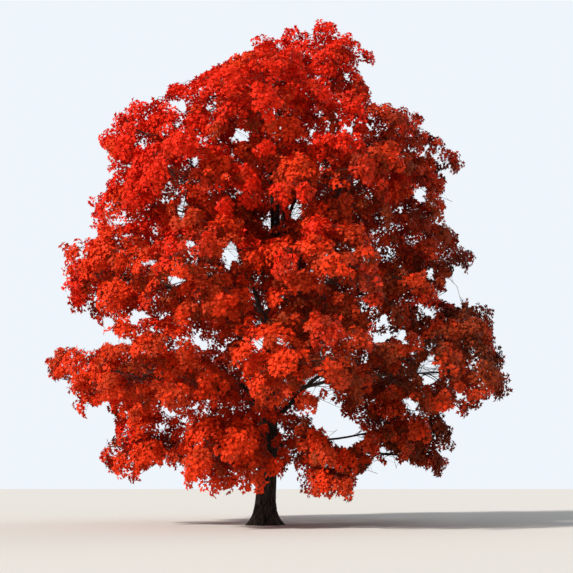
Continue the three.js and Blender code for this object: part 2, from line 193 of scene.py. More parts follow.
def object_of(mesh, material):
    """A new object in the tree's own frame, with the name of its mesh."""
    mesh.materials.append(material)
    piece = bpy.data.objects.new(mesh.name, mesh)
    bpy.context.scene.collection.objects.link(piece)
    return piece


class Shading:
    """A socket in a tree of shader nodes. Sums on it add Math nodes."""

    def __init__(self, tree, socket=None):
        self.tree = tree
        self.socket = socket

    def node(self, kind, settings=None, inputs=None, output=0):
        """A new node: its settings, then the values or links of its sockets by name or number."""
        made = self.tree.nodes.new("ShaderNode" + kind)
        for name, value in (settings or {}).items():
            setattr(made, name, value)
        for name, value in (inputs or {}).items():
            if isinstance(value, Shading):
                self.tree.links.new(value.socket, made.inputs[name])
            else:
                made.inputs[name].default_value = value
        return Shading(self.tree, made.outputs[output])

    def sum(self, operation, first, second):
        return self.node("Math", {"operation": operation}, {0: first, 1: second})

    def mix(self, first, second):
        """The first colour where this is 0 and the second where it is 1."""
        colour_a, colour_b, result = 6, 7, 2
        sockets = {0: self, colour_a: first, colour_b: second}
        return self.node("Mix", {"data_type": "RGBA"}, sockets, result)

    def __add__(self, other):
        return self.sum("ADD", self, other)

    __radd__ = __add__

    def __mul__(self, other):
        return self.sum("MULTIPLY", self, other)

    __rmul__ = __mul__

    def __rsub__(self, other):
        return self.sum("SUBTRACT", other, self)


def new_material(name):
    """A material with nodes, and the wrapped tree and the Principled node in it."""
    material = bpy.data.materials.new(name)
    material.use_nodes = True
    shading = Shading(material.node_tree)
    return material, shading, material.node_tree.nodes["Principled BSDF"]


FURROW_COLOUR = (0.012, 0.008, 0.006, 1.0)
# The plates and the weathering are darkened all over, as painted shade on the bark
PLATE_COLOUR_WITH_PAINTED_SHADE = (0.064, 0.049, 0.038, 1.0)
WEATHERING_COLOUR_WITH_PAINTED_SHADE = (0.12, 0.102, 0.085, 1.0)
LICHEN_COLOUR = (0.09, 0.097, 0.066, 1.0)
# How fine each pattern is on the trunk, and its detail
FIBRES = (45.0, 5.0)
PATCHES = (2.6, 4.0)
SPOTS = (7.5, 3.0)
FIBRE_SHAPE = (1.0, 1.0, 0.25)
# Between which values of its pattern a patch or a spot of lichen fades in, and how strong it gets
PATCH_FADES = (0.45, 0.7)
PATCH_STRENGTH = 1.4
SPOT_FADES = (0.6, 0.72)
SPOT_STRENGTH = 0.6
# How far a plate hides the dark of the furrows: at least, and what its fibres add
PLATE_COVERS = (0.55, 0.7)
# The shares of the fibres and of the plates in the fine relief, its strength and its depth
RELIEF_SHARES = (0.7, 0.3)
RELIEF_STRENGTH = 0.55
RELIEF_DEPTH = 0.008
# The roughness in a furrow, and how much less it is on a plate
BARK_ROUGHNESS = (0.98, 0.14)
BARK_SPECULAR = 0.25


def bark_material(name, grain):
    """Bark: dark in the furrows, grey-brown on the plates, with paler weathering and some lichen. The
    plates and the weathering are darkened all over as painted shade. grain is how many times finer
    the fine relief is than on the trunk."""
    material, shading, skin = new_material(name)

    def pattern(place, scale, detail):
        values = {"Vector": place, "Scale": scale * grain, "Detail": detail}
        return shading.node("TexNoise", None, values)

    def faded(value, start, end):
        values = {"Value": value, "From Min": start, "From Max": end}
        return shading.node("MapRange", None, values)

    plates = shading.node("Attribute", {"attribute_name": "plates"}, output="Fac")
    place = shading.node("TexCoord", output="Object")
    upright = shading.node("Mapping", None, {"Vector": place, "Scale": FIBRE_SHAPE})
    fibres = pattern(upright, *FIBRES)
    weathered = faded(pattern(place, *PATCHES), *PATCH_FADES)
    lichen = faded(pattern(place, *SPOTS), *SPOT_FADES)
    # The plate and weathering colours carry painted shade, darker all over
    colour = (weathered * fibres * PATCH_STRENGTH).mix(PLATE_COLOUR_WITH_PAINTED_SHADE, WEATHERING_COLOUR_WITH_PAINTED_SHADE)
    colour = (lichen * plates * SPOT_STRENGTH).mix(colour, LICHEN_COLOUR)
    least, more = PLATE_COVERS
    colour = (plates * (least + fibres * more)).mix(FURROW_COLOUR, colour)
    height = fibres * RELIEF_SHARES[0] + plates * RELIEF_SHARES[1]
    relief = {"Height": height, "Strength": RELIEF_STRENGTH, "Distance": RELIEF_DEPTH / grain}
    bump = shading.node("Bump", None, relief)
    roughness = BARK_ROUGHNESS[0] - plates * BARK_ROUGHNESS[1]
    for name, value in {"Base Color": colour, "Normal": bump, "Roughness": roughness}.items():
        material.node_tree.links.new(value.socket, skin.inputs[name])
    skin.inputs["Specular IOR Level"].default_value = BARK_SPECULAR
    return material


def trunk_place(ribs):
    """The function that lays the bark on the trunk."""

    def place(angle, share):
        height = TRUNK_HEIGHT * share**TRUNK_CROWDING
        swell = 0.0
        for rib, size in ribs:
            off = math.atan2(math.sin(angle - rib), math.cos(angle - rib))
            swell += size * math.exp(-((off / ROOT_HALF_WIDTH) ** 2) / 2)
        radius = between(TRUNK_TAPER, height)
        top = radius - (TRUNK_HEIGHT - height)
        dome = math.sqrt(max(DOME_CLOSES, 1 - (top / radius) ** 2)) if top > 0 else 1.0
        radius += ROOT_REACH * swell * math.exp(-height / ROOT_FADE)
        out = Vector((math.cos(angle), math.sin(angle), 0.0))
        plates = bark_plates(out * BARK_RADIUS + UP * height)
        rough = noise.fractal(Vector((out.x, out.y, height)) * ROUGHNESS_SCALE, *THREE_SIZES)
        radius += FURROW_DEPTH * (plates - BARK_LEVEL) + PLATE_ROUGHNESS * rough
        return trunk_axis(height) + out * radius * dome, plates

    return place


trunk_skin = wrapped_bark(TRUNK_SIDES, TRUNK_RINGS, trunk_place(root_ribs()))
trunk_mesh = mesh_of("trunk_bark", trunk_skin)
trunk_mesh.shade_smooth()
trunk_bark = object_of(trunk_mesh, bark_material("trunk_bark", 1.0))
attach(trunk_bark, "root")
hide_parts("trunk")


# The boughs: nineteen tapering limbs that leave the trunk in six tiers, rise, and level off or
# droop into the leaves. Each swells into a collar where it grows out of the trunk, and its bark is
# thinner and less split than the trunk's.
BOUGH_TIP_RADIUS = 0.055
BOUGH_RADIUS_PER_LENGTH = 0.019
BOUGH_LEAST_ROOT_RADIUS = 0.085
# How far a bough holds its first and its last direction, and how far its root strays
BOUGH_LEAVING = 0.36
BOUGH_ARRIVING = 0.34
BOUGH_STRAYS = 0.3
BOUGH_SIDES = 20
BOUGH_RINGS = 90
COLLAR_SWELL = 0.8
COLLAR_FADE = 0.16
# Knots and plates: how far off the limb's middle their noise is read, and how fine it is
BOUGH_RELIEF = 0.006
KNOTS = (0.1, 7.0)
BOUGH_PLATES = (0.2, 11.0)
KNOT_SIZE = 1.5
BOUGH_GRAIN = 1.8
# The tiers of the crown, from the lowest up. half is half the size of a mass of leaves outwards,
# across and up, and tilt how far its outer face is tilted up. Two masses share a bough, which leaves
# the trunk at trunk_at, at rise degrees, and ends tip_share of the way to them, tip_lift above their
# middle. masses has a row for each mass: the direction in which it stands, in degrees from the right
# by the back, how far its tip reaches, and the height of its middle.
TIER_FIELDS = ("name", "half", "tilt", "trunk_at", "rise", "tip_share", "tip_lift", "masses")
TIERS = [
    ("skirt", (2.1, 2.0, 1.35), 0, 2.45, 18, 0.54, 0.2, [
        (180, 5.8, 2.7), (250, 5.1, 2.35), (318, 5.2, 2.0), (352, 6.4, 3.45), (24, 7.0, 2.4),
        (100, 6.2, 3.0),
    ]),
    ("low", (2.65, 2.5, 1.65), 0, 3.75, 34, 0.58, -0.25, [
        (182, 7.65, 5.05), (228, 7.3, 4.85), (285, 7.9, 5.0), (331, 8.8, 5.0), (9, 8.7, 6.3),
        (53, 8.5, 5.5), (96, 8.2, 5.4), (138, 7.9, 5.5),
    ]),
    ("middle", (2.7, 2.5, 1.95), 5, 5.1, 48, 0.56, -0.7, [
        (163, 7.6, 9.2), (202, 7.1, 8.3), (248, 7.5, 7.9), (292, 7.6, 7.5), (337, 7.2, 7.6),
        (17, 8.1, 9.75), (67, 7.7, 8.3), (112, 7.6, 8.5),
    ]),
    ("shoulder", (2.7, 2.6, 1.9), 12, 6.5, 58, 0.54, -0.9, [
        (180, 6.3, 11.4), (240, 6.6, 10.9), (300, 6.7, 10.9), (0, 7.1, 10.8), (60, 6.9, 11.6),
        (120, 6.7, 11.4),
    ]),
    ("high", (2.6, 2.6, 1.8), 14, 7.6, 68, 0.54, -1.1, [
        (164, 6.6, 13.1), (213, 5.8, 12.9), (270, 6.2, 13.3), (327, 6.3, 12.7), (20, 7.6, 13.3),
        (90, 6.4, 13.7),
    ]),
    ("top", (2.2, 2.2, 1.85), 50, 8.35, 80, 0.52, -1.3, [
        (275, 3.6, 14.6), (5, 4.1, 16.0), (85, 3.9, 16.2), (185, 3.6, 14.5),
    ]),
]
PLAN_SEED = 5
CURVE_STEPS = 201
# A limb counts as upright above this much rise in its direction
UPRIGHT = 0.9


def named(names, values):
    return SimpleNamespace(**dict(zip(names, values)))


def plan_masses(tier):
    """The masses of one tier: the middle of each and its half sizes along its own three axes."""
    masses = []
    for number, (degrees, reach, height) in enumerate(tier.masses, start=1):
        direction = math.radians(degrees)
        out = Vector((math.cos(direction), math.sin(direction), 0.0))
        across = UP.cross(out)
        tilting = Matrix.Rotation(-math.radians(tier.tilt), 3, across)
        middle = out * (reach - tier.half[0])
        middle.z = height
        name = f"leaves_{tier.name}_{number}"
        axes = [tilting @ axis for axis in (out, across, UP)]
        masses.append(SimpleNamespace(name=name, middle=middle, axes=axes, half=tier.half))
    return masses


def plan_bough(tier, number, pair, chance):
    """The bough of two masses: a curve from the middle of the trunk to where it enters them."""
    middle = (pair[0].middle + pair[1].middle) / 2
    root = trunk_axis(tier.trunk_at + BOUGH_STRAYS * chance())
    tip = root.lerp(middle, tier.tip_share)
    tip.z = middle.z + tier.tip_lift
    flat = (middle - root).to_2d().to_3d().normalized()
    length = (tip - root).length
    rise = math.radians(tier.rise)
    leaving = flat * math.cos(rise) + UP * math.sin(rise)
    arriving = (middle - tip).normalized()
    second = root + leaving * length * BOUGH_LEAVING
    third = tip - arriving * length * BOUGH_ARRIVING
    return SimpleNamespace(
        name=f"bough_{tier.name}_{number}",
        corners=[root, second, third, tip],
        pair=pair,
        arriving=arriving,
        root_radius=max(BOUGH_LEAST_ROOT_RADIUS, length * BOUGH_RADIUS_PER_LENGTH),
    )


def plan_tree():
    chance = seeded(PLAN_SEED)
    masses, boughs = [], []
    for row in TIERS:
        tier = named(TIER_FIELDS, row)
        here = plan_masses(tier)
        for i in range(0, len(here), 2):
            boughs.append(plan_bough(tier, i // 2 + 1, here[i : i + 2], chance))
        masses += here
    return masses, boughs


def along_limb(corners, shares):
    """Points at shares of the length of the curve that its four corners give."""
    corners = np.array(corners, float)

    def at(turn):
        turn = np.asarray(turn)[:, None]
        rest = 1 - turn
        weights = [rest**3, 3 * rest**2 * turn, 3 * rest * turn**2, turn**3]
        return sum(weight * corner for weight, corner in zip(weights, corners))

    turns = np.linspace(0, 1, CURVE_STEPS)
    steps = np.linalg.norm(np.diff(at(turns), axis=0), axis=1)
    lengths = np.concatenate([[0], np.cumsum(steps)])
    return at(np.interp(np.asarray(shares) * lengths[-1], lengths, turns))


def unit(rows):
    return rows / np.linalg.norm(rows, axis=-1, keepdims=True)


def limb_sides(paths):
    """Two directions across each limb at each of its rings."""
    heading = unit(np.gradient(paths, axis=-2))
    whole = unit(paths[..., -1, :] - paths[..., 0, :])
    upright = np.abs(whole[..., 2:]) > UPRIGHT
    reference = np.cross(whole, np.where(upright, (1.0, 0.0, 0.0), (0.0, 0.0, 1.0)))
    reference = reference[..., None, :]
    side = unit(reference - heading * (reference * heading).sum(-1, keepdims=True))
    return side, np.cross(heading, side)


def bough_radius(bough, share):
    """The radius of a bough without its collar, at shares of its length."""
    return bough.root_radius + (BOUGH_TIP_RADIUS - bough.root_radius) * share


def bough_place(bough):
    """The function that lays the bark on a bough."""
    path = along_limb(bough.corners, np.linspace(0, 1, BOUGH_RINGS + 1))
    side, across = limb_sides(path)
    length = np.linalg.norm(np.diff(path, axis=0), axis=1).sum()
    trunk_radius = between(TRUNK_TAPER, path[0][2])

    def place(angle, share):
        ring = round(share * BOUGH_RINGS)
        out = Vector(side[ring] * math.cos(angle) + across[ring] * math.sin(angle))
        radius = bough_radius(bough, share)
        clear = max(0.0, share * length - trunk_radius)
        radius *= 1 + COLLAR_SWELL * math.exp(-clear / COLLAR_FADE)
        middle = Vector(path[ring])
        knots = noise.fractal((middle + out * KNOTS[0]) * KNOTS[1], *THREE_SIZES)
        plates = 0.5 + 0.5 * noise.noise((middle + out * BOUGH_PLATES[0]) * BOUGH_PLATES[1])
        radius += BOUGH_RELIEF * knots * KNOT_SIZE + BOUGH_RELIEF * (plates - 0.5)
        return middle + out * radius, plates

    return place


masses, boughs = plan_tree()
boughs_skin = bmesh.new()
boughs_skin.verts.layers.float.new("plates")
for bough in boughs:
    one = mesh_of(bough.name, wrapped_bark(BOUGH_SIDES, BOUGH_RINGS, bough_place(bough)))
    boughs_skin.from_mesh(one)
    bpy.data.meshes.remove(one)
boughs_mesh = mesh_of("boughs_bark", boughs_skin)
boughs_mesh.shade_smooth()
boughs_bark = object_of(boughs_mesh, bark_material("bough_bark", BOUGH_GRAIN))
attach(boughs_bark, "root")
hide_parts(*[bough.name for bough in boughs])


# The branches: on each bough two stems part, one to each mass of leaves. Every stem carries six
# branches towards the outer face of its mass and ends in a seventh, and each branch ends where its
# spray can spread furthest without meeting a limb or another spray.
STEM_RADIUS = 0.026
# The two stems on a bough stand this many radii off its middle, and start this far off its tip
STEMS_APART = 1.12
JOINT_GAP = 0.0003
STEM_RINGS = 3
STEM_LEAVING = 0.4
BRANCHES = 6
# How far a branch turns from the stem and strays from that, between which shares of the stem it
# leaves, and between which shares of the way to the rim it ends
SPREAD = math.radians(62.0)
JITTER = math.radians(9.0)
BRANCHES_LEAVE = (0.45, 0.8)
BRANCH_ENDS = (0.98, 0.5)
BRANCH_STEP = 0.06
# The room kept between masses, and round the trunk and the boughs
CLEARANCE = 0.04
LIMB_CLEARANCE = 0.1
LIMB_TESTS = 24
LINE_TESTS = (0.25, 0.5, 0.75, 1)
# How square a mass is, and how many times heights count where two masses meet
FULLNESS = 2.6
FLATTEN = 1.25
# A spray is a star of three great leaves, and each of those is the reach of one fan of twigs. A
# great leaf has the largest of its sizes that fits, at the best of three turns of its spray
GREAT_LENGTH = 1.5
GREAT_LEAVES = 3
LOBE = 0.48
SIZES = (1, 0.85, 0.7, 0.55)
ROLLS = (0, math.radians(40.0), math.radians(80.0))
UPTURN = 0.35
FALL = math.radians(26.0)
# Where the branch's tip lies in the first great leaf: across, along and above its root
SEAT = (0.09, 0.27, 0.02)
MARGIN = 0.04
# Stems and branches as drawn: radii at both ends, sides, rings, and how high a branch arches
STEM_DRAWN = (0.042, 0.017)
BRANCH_DRAWN = (0.02, 0.009)
LIMB_SIDES = 7
STEM_DRAWN_RINGS = 12
BRANCH_DRAWN_RINGS = 6
BRANCH_ARCH = 0.07
# Where sky shows through the crown or beside it: x and z of each window where it would meet the
# trunk's plane as seen from the camera, and its half width and half height
WINDOWS = [
    (-3.05, 11.3, 0.2, 0.45), (-1.25, 9.6, 0.32, 0.5), (1.09, 11.26, 0.24, 0.42),
    (1.8, 4.85, 0.5, 0.4), (5.7, 11.9, 0.3, 0.33), (5.9, 5.4, 0.38, 0.5), (-0.9, 14.1, 0.4, 0.3),
    (2.25, 3.9, 0.5, 0.75), (2.95, 3.2, 0.65, 0.5), (4.2, 1.5, 1.0, 0.95), (-2.6, 16.6, 0.4, 0.3),
    (-6.4, 6.5, 1.6, 0.32), (-5.9, 3.55, 0.6, 0.8), (-4.28, 9.32, 0.4, 0.16),
    (-3.25, 8.66, 0.45, 0.2), (-2.71, 9.99, 0.28, 0.14), (-4.56, 7.45, 0.36, 0.17),
    (6.0, 8.9, 0.15, 0.25), (5.25, 4.25, 0.28, 0.22), (4.85, 6.7, 0.35, 0.17),
    (-6.0, 3.0, 0.55, 0.5), (-3.75, 1.7, 0.8, 0.35), (-4.5, 15.75, 0.55, 0.4),
    (4.8, 15.6, 0.5, 0.42), (6.55, 14.5, 0.8, 0.5), (6.95, 11.5, 0.48, 0.85),
    (7.05, 8.4, 0.5, 0.7), (-0.9, 17.6, 0.4, 0.28), (3.05, 18.3, 0.4, 0.3), (3.8, 16.6, 0.3, 0.35),
    (-6.05, 13.1, 0.28, 0.6), (-6.4, 10.4, 0.5, 0.25), (-7.6, 9.2, 0.35, 0.7),
    (-8.05, 5.1, 0.3, 0.6),
]
# How ragged their rims are: in each direction, how fine a wave is and the one that bends it
WINDOW_RAGGED = 0.3
RIM_WAVES = ((9, 5), (8, 6))
RIM_BEND = 2


def turned(direction, axis, angle):
    return Matrix.Rotation(angle, 3, axis) @ direction


def space_of(mass, masses):
    """True inside a mass's own space, which ends half way to every other mass."""

    def squeeze(place):
        return Vector((place.x, place.y, place.z * FLATTEN))

    planes = []
    for other in masses:
        if other is not mass:
            normal = squeeze(other.middle) - squeeze(mass.middle)
            planes.append((normal.normalized(), normal.length / 2 - CLEARANCE))

    def inside(point):
        off = point - mass.middle
        shares = (abs(off.dot(axis) / half) for axis, half in zip(mass.axes, mass.half))
        if sum(share**FULLNESS for share in shares) > 1:
            return False
        squeezed = squeeze(off)
        return all(squeezed.dot(normal) <= offset for normal, offset in planes)

    return inside


def limb_test(boughs):
    """True where a point is clear of the trunk and of every bough."""
    shares = np.linspace(0, 1, LIMB_TESTS + 1)
    middles = np.concatenate([along_limb(bough.corners, shares) for bough in boughs])
    radii = np.concatenate([bough_radius(bough, shares) for bough in boughs])
    reaches = (radii + LIMB_CLEARANCE) ** 2

    def clear(point):
        from_trunk = (trunk_axis(min(point.z, TRUNK_HEIGHT)) - point).length
        if from_trunk <= between(TRUNK_TAPER, point.z) + LIMB_CLEARANCE:
            return False
        return bool((((middles - point) ** 2).sum(axis=1) > reaches).all())

    return clear


def facing_at(point, mass):
    """The side of a mass that faces out and up to the light at a point."""
    off = point - mass.middle
    facing = Vector()
    for axis, half in zip(mass.axes, mass.half):
        facing += axis * (off.dot(axis) / half**2)
    facing.normalize()
    facing.z = max(facing.z, 0.0) + UPTURN
    return facing.normalized()


def lay_leaf(root, facing, start, turn):
    """A great leaf: its root, its length, which falls away from the side that the spray faces, the
    direction across it and its own upper side."""
    length = turned(start, facing, turn)
    across = facing.cross(length)
    length = turned(length, across, FALL)
    upper = length.cross(across)
    return SimpleNamespace(root=root, length=length, across=across, upper=upper, size=0.0)


def leaf_corners(leaf):
    """The corners of a great leaf after its root: a lobe, the tip and a lobe."""
    places = ((-LOBE, 0.5), (0.0, 1.0), (LOBE, 0.5))
    return [leaf.root + (leaf.across * x + leaf.length * y) * leaf.size for x, y in places]


def meets_leaf(start, end, leaf):
    """True where a straight line passes through a great leaf."""
    start = start - leaf.root
    end = end - leaf.root
    above = start.dot(leaf.upper)
    below = end.dot(leaf.upper)
    if above * below > 0:
        return False
    crossing = start.lerp(end, above / (above - below))
    along = crossing.dot(leaf.length) / leaf.size
    half_width = LOBE * (1 - abs(2 * along - 1)) + MARGIN
    return abs(crossing.dot(leaf.across)) / leaf.size < half_width


def rim_meets_leaf(leaf, other):
    corners = [leaf.root, *leaf_corners(leaf)]
    sides = zip(corners, corners[1:] + corners[:1])
    return any(meets_leaf(corner, following, other) for corner, following in sides)


def clear_line(start, end, tests):
    """True where a straight line is clear of the limbs."""
    return all(tests.clear_of_limbs(start.lerp(end, share)) for share in LINE_TESTS)


def leaf_fits(leaf, tests):
    """True where a great leaf keeps to its space, clear of limbs, branches and other sprays."""
    corners = leaf_corners(leaf)
    return (
        all(tests.in_space(place) for place in (leaf.root, *corners))
        and not any(meets_leaf(limb.root, limb.tip, leaf) for limb in tests.branches)
        and not any(
            rim_meets_leaf(leaf, other) or rim_meets_leaf(other, leaf) for other in tests.leaves
        )
        and all(clear_line(leaf.root, corner, tests) for corner in corners)
    )


def grow_spray(tip, mass, roll, tests):
    """A spray whose first great leaf takes in the end of a branch, with those that fit."""
    facing = facing_at(tip, mass)
    start = mass.axes[1]
    start = (start - facing * start.dot(facing)).normalized()
    across, along, deep = SEAT
    first = lay_leaf(tip, facing, start, roll)
    middle = tip - first.across * across - first.length * along - first.upper * deep
    leaves = []
    for i in range(GREAT_LEAVES):
        leaf = lay_leaf(middle, facing, start, roll + i / GREAT_LEAVES * math.tau)
        for share in SIZES:
            leaf.size = GREAT_LENGTH * share
            if leaf_fits(leaf, tests):
                leaves.append(leaf)
                break
        else:
            if i == 0:
                break
    return SimpleNamespace(middle=middle, leaves=leaves)


def grow_branch(root, rim, mass, roll, tests):
    """A branch towards a point on the rim, which ends where its spray spreads furthest."""
    furthest, nearest = BRANCH_ENDS
    best, most = None, 0.0
    share = furthest
    while share > nearest:
        tip = mass.middle.lerp(rim, share)
        for turn in ROLLS:
            spray = grow_spray(tip, mass, roll + turn, tests)
            spread = share * sum(leaf.size for leaf in spray.leaves)
            if spread <= most or any(meets_leaf(root, tip, leaf) for leaf in tests.leaves):
                continue
            if clear_line(root, tip, tests):
                best = SimpleNamespace(root=root, tip=tip, spray=spray)
                most = spread
        share -= BRANCH_STEP
    if best:
        tests.leaves += best.spray.leaves
        tests.branches.append(best)
    return best


def rim_point(mass, spread, bearing):
    """A point on the rim of a mass: out along its own axis, turned by spread towards a bearing
    that runs round that axis from the left by the top to the right."""
    aside = math.sin(spread)
    shares = (math.cos(spread), aside * math.cos(bearing), aside * math.sin(bearing))
    rim = mass.middle.copy()
    for axis, half, share in zip(mass.axes, mass.half, shares):
        rim += axis * half * share
    return rim


def stem_foot(bough, mass):
    """The foot of a mass's stem on the tip of its bough, where two stems stand side by side."""
    end = bough.corners[-1]
    side = UP.cross(bough.arriving).normalized()
    to_side = math.copysign(1.0, (mass.middle - end).dot(side))
    return end + bough.arriving * JOINT_GAP + side * (to_side * STEM_RADIUS * STEMS_APART)


def grow_mass(mass, seed, bough, tests):
    """Everything that grows in one mass, from its stem's foot on the bough."""
    chance = seeded(seed)
    foot = stem_foot(bough, mass)
    leader = grow_branch(mass.middle, rim_point(mass, 0, 0), mass, math.tau * chance(), tests)
    control = foot + bough.arriving * STEM_LEAVING * (foot - mass.middle).length
    stem = [foot, control, mass.middle, leader.tip if leader else mass.middle]
    rings = along_limb(stem, np.linspace(0, 1, STEM_RINGS + 1))
    first, last = BRANCHES_LEAVE
    for i in range(BRANCHES):
        bearing = math.pi / 2 + i / BRANCHES * math.tau + JITTER * chance()
        spread = SPREAD + JITTER * chance()
        leaves_at = first + (last - first) * (i / BRANCHES)
        ring = min(STEM_RINGS - 1, int(leaves_at * STEM_RINGS))
        root = Vector(rings[ring]).lerp(Vector(rings[ring + 1]), leaves_at * STEM_RINGS - ring)
        rim = rim_point(mass, spread, bearing)
        branch = grow_branch(root, rim, mass, math.tau * chance(), tests)
        if branch:
            branch.root = Vector(along_limb(stem, [leaves_at])[0])
    branches = [branch for branch in tests.branches if branch is not leader]
    sprays = [branch.spray for branch in tests.branches]
    return SimpleNamespace(mass=mass, stem=stem, branches=branches, sprays=sprays, tests=tests)


def grow_all(masses, boughs):
    clear = limb_test(boughs)
    grown = []
    for bough in boughs:
        for mass in bough.pair:
            inside = space_of(mass, masses)
            tests = SimpleNamespace(in_space=inside, clear_of_limbs=clear, leaves=[], branches=[])
            grown.append(grow_mass(mass, masses.index(mass) + 1, bough, tests))
    return grown


def tapering_limbs(paths, radii, sides):
    """The corners and triangles of closed tapering limbs, all with the same number of rings. paths
    holds the middle of each ring of each limb, and radii are those of a limb's two ends."""
    count, rings = paths.shape[:2]
    side, across = limb_sides(paths)
    turn = np.arange(sides) / sides * math.tau
    ways = side[:, :, None] * np.cos(turn)[:, None] + across[:, :, None] * np.sin(turn)[:, None]
    share = np.linspace(0, 1, rings)
    radius = radii[0] + (radii[1] - radii[0]) * share
    places = paths[:, :, None] + ways * radius[:, None, None]
    ring = np.arange(rings - 1)[:, None] * sides
    here = np.arange(sides)
    after = (here + 1) % sides
    low = [ring + here, ring + after, ring + sides + after]
    high = [ring + here, ring + sides + after, ring + sides + here]
    walls = np.concatenate([np.stack(corners, -1).reshape(-1, 3) for corners in (low, high)])
    fan = np.stack([np.zeros(sides - 2, int), here[1:-1], here[2:]], -1)
    ends = np.concatenate([fan[:, ::-1], fan + (rings - 1) * sides])
    one = np.concatenate([walls, ends])
    starts = np.arange(count)[:, None, None] * rings * sides
    return places.reshape(-1, 3), (one + starts).reshape(-1, 3)


def joined_mesh(name, parts):
    """One mesh from several pairs of corner places and triangles."""
    places = np.concatenate([part[0] for part in parts])
    starts = np.cumsum([0] + [len(part[0]) for part in parts[:-1]])
    triangles = np.concatenate([part[1] + start for part, start in zip(parts, starts)])
    mesh = bpy.data.meshes.new(name)
    mesh.vertices.add(len(places))
    mesh.vertices.foreach_set("co", places.astype(np.float32).ravel())
    mesh.loops.add(triangles.size)
    mesh.loops.foreach_set("vertex_index", triangles.astype(np.int32).ravel())
    mesh.polygons.add(len(triangles))
    mesh.polygons.foreach_set("loop_start", np.arange(0, triangles.size, 3, dtype=np.int32))
    mesh.update(calc_edges=True)
    return mesh


def arched(root, tip, arch, shares):
    """Places on a branch from root to tip, which rises off the straight line between."""
    share = np.asarray(shares)[:, None]
    root, tip = np.array(root), np.array(tip)
    rise = np.array(UP) * np.linalg.norm(tip - root) * arch
    return root + (tip - root) * share + rise * 4 * share * (1 - share)


def rim_wave(one, other, waves):
    """A wave from -1 to 1 in one direction, which another one bends."""
    return np.sin(one * waves[0] + RIM_BEND * np.sin(other * waves[1]))


def in_window(places, share):
    """Whether each place lies in one of the windows, as seen from the camera, or within a share of
    the way to their ragged rims."""
    nearer = EYE[1] / (EYE[1] - places[:, 1])
    x = EYE[0] + (places[:, 0] - EYE[0]) * nearer
    z = EYE[2] + (places[:, 2] - EYE[2]) * nearer
    ragged = rim_wave(x, z, RIM_WAVES[0]) + rim_wave(z, x, RIM_WAVES[1])
    found = np.zeros(len(places), bool)
    for middle_x, middle_z, half_width, half_height in WINDOWS:
        out = ((x - middle_x) / half_width) ** 2 + ((z - middle_z) / half_height) ** 2
        found |= out < share * (1 + WINDOW_RAGGED * ragged)
    return found


grown = grow_all(masses, boughs)


# The twigs: every great leaf of a spray is a fan of them, and smaller fans fill each mass inside and
# stand along the boughs. From the middle twig of a fan, side twigs rise to both sides, and each ends
# in a rosette of leaves, so that the rosettes cover the fan like a low dome.
TWIG_SEED = 21
GOLDEN_TURN = math.pi * (3 - math.sqrt(5))
# Twigs inside a mass: how many are tried, between which shares of the way from its middle to its
# rim they end, between which shares of the stem's length they leave it, and how far they stray
INNER_TWIGS = 36
INNER_ENDS = (0.55, 1.0)
INNER_LEAVES = (0.25, 0.95)
INNER_STRAYS = 0.5
# Twigs along a bough: how many, from which share of its length on, how long they are, and how far
# they head along it, to its side, where they stray, and at most up or down. Which way the bough
# heads is read over this share of its length
BOUGH_TWIGS = 28
BOUGH_TWIGS_FROM = 0.14
BOUGH_TWIG_LENGTHS = (1.3, 2.6)
BOUGH_TWIG_WAY = (0.6, 0.9, 0.7)
BOUGH_TWIG_STRAYS = 0.3
AHEAD = 0.01
# An inner twig is bare on this share of its length, and its fan drops by this share
INNER_BARE = 0.4
INNER_DROP = 0.12
# A fan in shares of its length: the middle of its dome, its half length and half width, how far
# the dome rises, how far its tip hangs, and how far each rosette strays
DOME_MIDDLE = 0.56
DOME_HALF = (0.4, 0.31)
DOME_RISE = 0.14
FAN_HANG = 0.03
ROSETTE_STRAYS = 0.06
# How far the rosettes stand out of the dome on longer twigs, in the mean and at most
SHOOT_RISE = 0.07
SHOOT_MOST = 0.22
# A side twig leaves the middle one this far before its rosette, this share of how far aside that
# is further back, and between these two places
SIDE_BACK = 0.16
SIDE_SLANT = 0.4
SIDE_FEET = (0.04, 0.8)
# How far a rosette faces away from the middle of its fan and on to its tip, and how far it strays
FACING_AWAY = 0.7
FACING_ON = 0.15
FACING_STRAYS = 0.15
# Rosettes on a fan for the square of its length, on great fans and on inner ones
GREAT_ROSETTES = 6.9
INNER_ROSETTES = 2.4
LEAST_ROSETTES = 3
FAN_TILT = math.radians(14.0)
# The share of a window that has no side twigs either, and the share of its rosettes that a fan has
# to keep, or it is left out whole
BARE_WINDOW = 0.95
LEAST_KEPT = 0.5
# How far past the CAD model's box the middle of a rosette may lie
PAST_BOX = 0.25
# A stem or a branch ends at its last ring with a rosette as near as this, and a middle twig starts
# at its first side twig where that lies further out than this share
LEAVES_NEAR = 0.28
BARE_FOOT = 0.3
# Radii at the foot and the tip of an inner twig's bare stretch, a middle twig and a side twig
CARRIER_RADII = (0.013, 0.008)
FAN_RADII = (0.009, 0.004)
SIDE_RADII = (0.0045, 0.0022)
TWIG_SIDES = 3
# Colour, roughness and specular level
TWIG_LOOK = ((0.055, 0.028, 0.022, 1.0), 0.8, 0.3)


def great_fans(grown, chance):
    """A fan for every great leaf, each tilted a little on its own."""
    rows = []
    for part in grown:
        for spray in part.sprays:
            for leaf in spray.leaves:
                tilt = FAN_TILT * (chance() - 0.5)
                length = turned(leaf.length, leaf.across, tilt)
                upper = turned(leaf.upper, leaf.across, tilt)
                rows.append((leaf.root, length, leaf.across, upper, leaf.size, True))
    return rows


def spread_between(low, high, chance):
    return low + (high - low) * (chance() + 1) / 2


